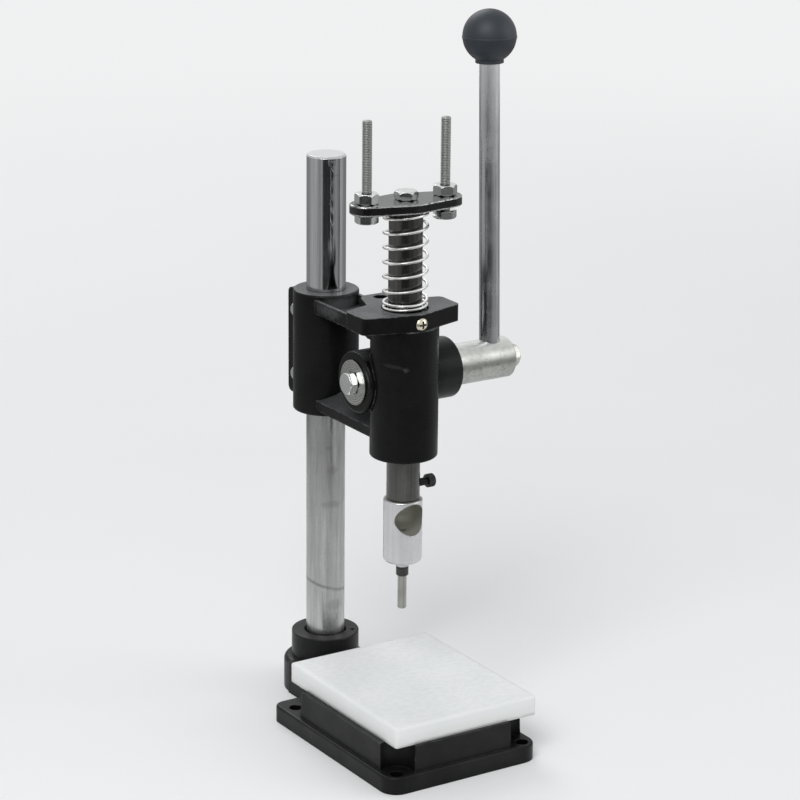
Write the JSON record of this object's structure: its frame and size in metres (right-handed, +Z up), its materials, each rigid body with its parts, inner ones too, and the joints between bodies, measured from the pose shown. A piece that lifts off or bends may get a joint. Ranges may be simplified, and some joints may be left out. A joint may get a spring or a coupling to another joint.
{
  "type": "hand-lever paper drill press",
  "caption": "Bench press for punching paper: hand lever, rack and pinion ram with return spring, column, flanged base with cutting board.",
  "frame": {"origin": "middle of the four bolt holes of the base, on the floor plane", "axes": "+Z up along the column, -Y towards the operator, +X to the operator's right where the hand lever is"},
  "size_m": [0.1544, 0.2049, 0.4515],
  "materials": {
    "base_paint": "dark grey-black paint over a cast surface, slightly rough",
    "head_paint": "semi-gloss black paint with worn edges",
    "board_plastic": "milky white polyethylene with a fine texture",
    "column_steel": "polished bright steel, smudged lower down",
    "zinc_steel": "zinc-plated hardware",
    "yellow_zinc": "pale yellow zinc plating",
    "shaft_steel": "dull silver, turned",
    "lever_steel": "bright drawn steel",
    "ball_plastic": "matt black moulded ball with a parting line",
    "ram_steel": "dark gunmetal with turning lines",
    "plate_paint": "glossy black paint with chipped edges",
    "spring_steel": "bright spring wire",
    "black_steel": "black oxide cap screw with a knurled head",
    "holder_aluminium": "bright satin turned aluminium",
    "collar_black": "black collar",
    "punch_steel": "dull grey tool steel"
  },
  "bodies": {
    "base": {"base_casting": "base_paint", "cutting_board": "board_plastic"},
    "column": {"column": "column_steel"},
    "head": {"head_casting": "head_paint", "clamp_bolts": "zinc_steel", "clamp_washers": "zinc_steel", "oil_hole_screw": "yellow_zinc", "return_spring": "spring_steel"},
    "lever": {"pinion_shaft": "shaft_steel", "pinion_washer": "zinc_steel", "pinion_bolt": "zinc_steel", "lever_rod": "lever_steel", "ball_knob": "ball_plastic", "lever_lock_bolt": "zinc_steel"},
    "ram": {"ram": "ram_steel", "stop_plate": "plate_paint", "ram_top_bolt": "zinc_steel", "stop_nut_left": "zinc_steel", "stop_nut_right": "zinc_steel", "punch_holder": "holder_aluminium", "punch_collar": "collar_black", "punch_tube": "punch_steel"},
    "left_stop": {"stop_bolt_left": "zinc_steel"},
    "right_stop": {"stop_bolt_right": "zinc_steel"},
    "lock_screw": {"tool_lock_screw": "black_steel"}
  },
  "joints": [
    {"name": "head_swivel", "type": "hinge", "parent": "base", "child": "column", "pos_m": [0.0041, 0.1065, 0], "axis": [0, 0, 1], "range_deg": [0, 180]},
    {"name": "head_height", "type": "slide", "parent": "column", "child": "head", "axis": [0, 0, 1], "range_m": [0, 0.08]},
    {"name": "lever_swing", "type": "hinge", "parent": "head", "child": "lever", "pos_m": [0.0041, 0.0329, 0.2306], "axis": [1, 0, 0], "range_deg": [0, 225.5]},
    {"name": "ram_slide", "type": "slide", "parent": "head", "child": "ram", "axis": [0, 0, -1], "range_m": [0, 0.0434], "stiffness_N_per_m": 1200, "springref_m": -0.012, "deforming": ["return_spring"]},
    {"name": "left_stop_setting", "type": "slide", "parent": "ram", "child": "left_stop", "axis": [0, 0, 1], "range_m": [-0.0115, 0.0004]},
    {"name": "right_stop_setting", "type": "slide", "parent": "ram", "child": "right_stop", "axis": [0, 0, 1], "range_m": [-0.009, 0.0028]},
    {"name": "tool_lock", "type": "slide", "parent": "ram", "child": "lock_screw", "axis": [1, 0, 0], "range_m": [0, 0.004]}
  ],
  "couplings": [
    {"joint": "ram_slide", "follows": "lever_swing", "m_per_rad": 0.011}
  ]
}
